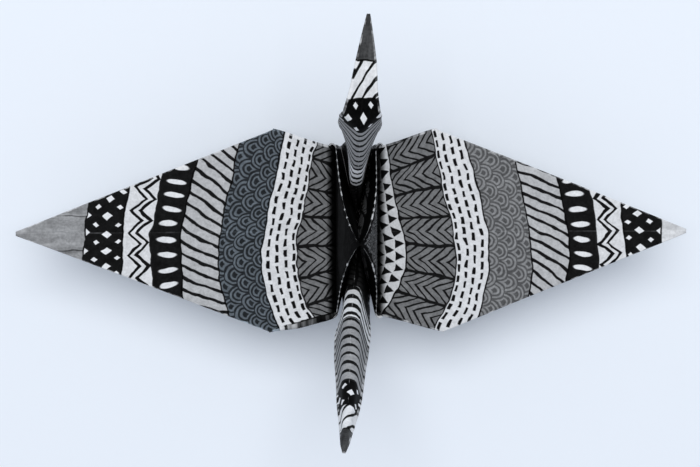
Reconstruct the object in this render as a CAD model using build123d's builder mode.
"""Origami crane folded from one square sheet of paper, standing with both wings spread level.

Frame: X along the wings, +Y towards the head, +Z up, millimetres. The origin is on the table,
midway between the four lowest corners of the body.

A crane is flat before its body is pulled open. In that flat base every point has two numbers:
"across" is the distance from the middle line, and "drop" is how far it lies below the crown,
which is the centre of the sheet. The functions below carry such points into space.
"""

from build123d import *
from math import asin, atan, cos, degrees, hypot, pi, radians, sin, sqrt, tan
import os

# The sheet and how it is creased
sheet = 75.0  # side of the square sheet
paper = 0.1  # thickness of one layer
leg_fold = 11.25  # angle at a leg's tip between its middle line and its narrowed edge
reverse_fold = 12.6  # slope of the creases where the legs turn up to become neck and tail

# How the finished crane is pulled open
peak_lean = 13.0  # lean of the two faces of the peak between the wings
valley_lean = 1.5  # lean of the two valleys that run down from the crown
root_bend = 0.9  # radius of the bend where a wing leaves the body
seam = 0.25  # gap between the raw edges that meet under a wing
side_lean = 2.6  # sideways lean of neck and tail above the body, to opposite sides
neck_lift = 63.5  # rise of the neck above level
tail_lift = 65.6  # rise of the tail above level
beak = 10.4  # length of the beak
beak_lift = -1.0  # rise of the beak above level
tip = 0.3  # length left off at a leg's tip, where the layers end bluntly

# Where the folded legs open, as pairs: share of the length from root to tip, half the angle
neck_opening = ((0.37, 5.0), (0.56, 16.0), (0.66, 30.0), (0.73, 46.0), (1.0, 76.0))
tail_opening = ((0.27, 8.0), (0.53, 22.0), (0.8, 27.0), (1.0, 30.0))

# Lengths that the square sheet gives to the flat base
leg_drop = sheet / sqrt(2)  # crown to the tip of a leg
petal_drop = sheet * (sqrt(2) - 1) / 2  # crown to the crease where a wing joins the peak
wing_rise = sheet - leg_drop  # crown up to the tip of a wing
leg_length = leg_drop - petal_drop
narrow = tan(radians(leg_fold))
wing_taper = tan(radians(2 * leg_fold))

wing_drop = leg_drop * narrow / (1 + narrow)  # the wing creases here, at the peak's corners
wide_drop = (leg_drop * narrow - wing_rise * wing_taper) / (wing_taper + narrow)
tuck_drop = leg_drop - hypot(petal_drop, leg_length)  # corner of the edge that is folded in
reverse_slope = tan(radians(reverse_fold))
foot_across = narrow * leg_length / (1 + narrow * reverse_slope)
foot_drop = petal_drop + foot_across * reverse_slope


def hem(drop):
    """Half the width of the narrowed base at this drop."""
    return (leg_drop - drop) * narrow


# The opened body, seen from the end: a peak on two walls that close in a little at the feet
peak_gap = wing_drop * sin(radians(peak_lean))
hem_to_foot = hypot(wing_drop - foot_across, foot_drop - wing_drop)
hem_to_tip = hypot(wing_drop, leg_drop - wing_drop)
wall_lean = asin(peak_gap * hem_to_foot / hem_to_tip / (foot_drop - wing_drop))
wing_z = (foot_drop - wing_drop) * cos(wall_lean)
crown_z = wing_z + wing_drop * cos(radians(peak_lean))
crown = Vector(0, 0, crown_z)


def on_wall(across, drop):
    """A point of the flat base, carried to the left wall of the opened body."""
    below = drop - wing_drop
    return Vector(below * sin(wall_lean) - peak_gap, across, wing_z - below * cos(wall_lean))


# The valleys meet the reversing creases at the roots of neck and tail
petal_z = on_wall(0, petal_drop).Z
crease_slope = petal_z / foot_across
valley_slope = tan(radians(valley_lean))
root_y = (crown_z - petal_z) * valley_slope / (1 - crease_slope * valley_slope)
root = Vector(0, root_y, petal_z - root_y * crease_slope)
root_half_angle = degrees(atan(peak_gap / wing_drop))

# A wing, from the end of its root bend to its tip
wing_x = -(peak_gap + paper)  # the wing's own layer in the wall, at the crease
bend_start = wing_drop + root_bend
bend_end = wing_drop - root_bend * pi / 4


def on_wing(across, drop):
    """A point of the flat base, carried to the left wing once it is folded level."""
    level_start = wing_x - root_bend
    return Vector(level_start - (bend_end - drop), across, wing_z)


def plane_through(outward, corners):
    """The plane through the first three corners, facing the way that outward points."""
    along = corners[1] - corners[0]
    normal = along.cross(corners[2] - corners[0])
    if normal.dot(outward) < 0:
        normal = -normal
    return Plane(origin=corners[0], x_dir=along, z_dir=normal)


def facet(first, last, outward, corners):
    """Adds layers of paper, pressed together and counted outwards from the facet's corners."""
    plane = plane_through(outward, corners)
    local = [plane.to_local_coords(corner) for corner in corners]
    with BuildSketch(plane.offset((first - 0.5) * paper)) as outline:
        with BuildLine():
            Polyline(*[(point.X, point.Y) for point in local], close=True)
        make_face()
    extrude(outline.sketch, amount=(last - first + 1) * paper)


def wall_facet(first, last, *flat):
    """Layers of the left wall, through points given as across and drop."""
    facet(first, last, Vector(-1, 0, 0), [on_wall(across, drop) for across, drop in flat])


def wing_facet(first, last, *flat):
    """Layers of the left wing, through points given as across and drop."""
    facet(first, last, Vector(0, 0, -1), [on_wing(across, drop) for across, drop in flat])


def crease(start, end):
    """The rounded edge where two facets meet at an angle."""
    with BuildSketch(Plane(origin=start, z_dir=end - start)) as round_edge:
        Circle(0.6 * paper)
    extrude(round_edge.sketch, amount=(end - start).length)


def root_bends(first, last, start_y, end_y):
    """Layers of a wing where they bend from the wall to level, between two places along Y."""
    middle = (first + last) / 2
    centre = Vector(wing_x - root_bend, 0, wing_z - root_bend)
    radius = root_bend - middle * paper
    thick = (last - first + 1) * paper
    with BuildSketch(Plane(origin=(centre.X, start_y, centre.Z), x_dir=(1, 0, 0), z_dir=(0, 1, 0))) as ring:
        with BuildLine():
            outer = CenterArc((0, 0), radius + thick / 2, 0, -90)
            inner = CenterArc((0, 0), radius - thick / 2, 0, -90)
            Line(outer @ 0, inner @ 0)
            Line(outer @ 1, inner @ 1)
        make_face()
    extrude(ring.sketch, amount=end_y - start_y)


def tucked(drop):
    """Where the folded-in edge of a wing crosses this drop."""
    return tuck_drop - drop


# The left half of the body with its wing
with BuildPart() as half:
    corner = on_wall(wing_drop, wing_drop)
    far_corner = on_wall(-wing_drop, wing_drop)
    facet(0, 0, Vector(-1, 0, 0), [crown, corner, far_corner])
    crease(far_corner, corner)

    # The peak's face goes down to the petal crease, and the wing's layer comes back up
    petal_half = hem(petal_drop)
    bend_half = hem(bend_start)
    for layer, top_half, top in ((0, wing_drop, wing_drop), (1, bend_half, bend_start)):
        wall_facet(
            layer,
            layer,
            (petal_half, petal_drop),
            (top_half, top),
            (-top_half, top),
            (-petal_half, petal_drop),
        )
    root_bends(0, 0, -wing_drop, wing_drop)
    wing_half = hem(bend_end)
    wide_half = hem(wide_drop)
    wing_facet(
        0,
        0,
        (-wing_half, bend_end),
        (wing_half, bend_end),
        (wide_half, wide_drop),
        (0, -wing_rise),
        (-wide_half, wide_drop),
    )

    for end in (1, -1):
        # Under the wing the sheet's raw edges meet at a seam, which runs on down the wall
        edge = end * seam / 2
        foot = (end * foot_across, foot_drop)
        wall_facet(2, 2, (edge, petal_drop), foot, (end * bend_half, bend_start), (edge, bend_start))
        seam_end = seam / 2 / wing_taper - wing_rise
        wing_facet(
            1,
            1,
            (edge, bend_end),
            (end * wing_half, bend_end),
            (end * wide_half, wide_drop),
            (edge, seam_end),
        )
        root_bends(1, 1, *sorted((edge, end * wing_drop)))

        # The narrowed edge is folded in over the wall: four more layers, each smaller
        tuck = (edge, tuck_drop)
        across_tuck = (end * tucked(bend_start), bend_start)
        hem_top = (end * bend_half, bend_start)
        hem_foot = (end * petal_half, petal_drop)
        hem_corner = (end * wing_drop, wing_drop)
        wall_facet(3, 3, tuck, (edge, petal_drop), foot, hem_top, across_tuck)
        wall_facet(4, 4, tuck, hem_foot, hem_top, across_tuck)
        wall_facet(5, 5, tuck, hem_foot, hem_corner)
        wall_facet(6, 6, tuck, (edge, petal_drop), foot, hem_corner)
        wing_facet(
            2,
            3,
            (end * tucked(bend_end), bend_end),
            (end * wing_half, bend_end),
            (end * wide_half, wide_drop),
        )
        root_bends(2, 3, *sorted((end * tucked(wing_drop), end * wing_drop)))

        # All of them turn round the hem, which runs down to the foot
        hem_line = [on_wall(*hem_corner), on_wall(*foot)]
        outwards = Vector(-6 * paper, 0, 0)
        facet(0, 0, Vector(0, end, 0), [*hem_line, hem_line[1] + outwards, hem_line[0] + outwards])

        # The valley between the peak and the neck or the tail
        valley = [crown, on_wall(*hem_corner), on_wall(*foot), Vector(0, end * root.Y, root.Z)]
        facet(0, 0, Vector(1, 0, 0), valley)
        crease(valley[0], valley[1])


def leg(lift, opening):
    """The narrowed leg, rising along +Y from the root to its tip.

    Its section is two arms of four layers each, joined at a flat ridge and open below. From the
    first of its openings on it leans sideways.
    """
    arm = 4 * paper
    rise = Vector(0, cos(radians(lift)), sin(radians(lift)))
    stations = ((0.0, root_half_angle), *opening)
    lean_start = opening[0][0]
    with BuildPart() as shape:
        for pair in zip(stations, stations[1:]):
            for share, half_angle in pair:
                along = min(share * leg_length, leg_length - tip)
                width = (leg_length - along) * narrow
                side = max(0, share - lean_start) * leg_length * tan(radians(side_lean))
                angle = radians(half_angle)
                spread = Vector(sin(angle), cos(angle))
                out = Vector(cos(angle), -sin(angle)) * arm
                right = (out, spread * width + out, spread * width)
                left = [(-point.X, point.Y) for point in reversed(right)]
                middle = root + rise * along + Vector(side, 0, 0)
                with BuildSketch(Plane(origin=middle, x_dir=(1, 0, 0), z_dir=rise)):
                    with BuildLine():
                        Polyline(*[(point.X, point.Y) for point in right], (0, 0), *left, close=True)
                    make_face()
            loft(ruled=True)
    return shape.part


# Each leg is cut where its reversing crease turns it up between the walls
reversing_plane = Plane(
    origin=(0, foot_across, 0), x_dir=(1, 0, 0), z_dir=(0, petal_z, foot_across)
)
with BuildPart() as tail:
    add(leg(tail_lift, tail_opening))
    split(bisect_by=reversing_plane, keep=Keep.TOP)

# The head is the neck's end turned inside out, so that the beak opens upwards
neck_rise = Vector(0, cos(radians(neck_lift)), sin(radians(neck_lift)))
beak_run = Vector(0, cos(radians(beak_lift)), sin(radians(beak_lift)))
head_plane = Plane(
    origin=root + neck_rise * (leg_length - beak), x_dir=(1, 0, 0), z_dir=neck_rise - beak_run
)
with BuildPart() as neck:
    add(leg(neck_lift, neck_opening))
    split(bisect_by=reversing_plane, keep=Keep.TOP)
    split(bisect_by=head_plane, keep=Keep.BOTTOM)
with BuildPart() as neck_end:
    add(leg(neck_lift, neck_opening))
    split(bisect_by=head_plane, keep=Keep.TOP)

with BuildPart() as folded_sheet:
    add(half.part)
    mirror(about=Plane.YZ)
    add(neck.part)
    mirror(neck_end.part, about=head_plane)
    add(tail.part.rotate(Axis.Z, 180))
    for end in (1, -1):
        crease(crown, Vector(0, end * root.Y, root.Z))

folded_sheet.part.label = "folded_sheet"
os.makedirs("parts", exist_ok=True)
export_step(folded_sheet.part, "parts/folded_sheet.step")
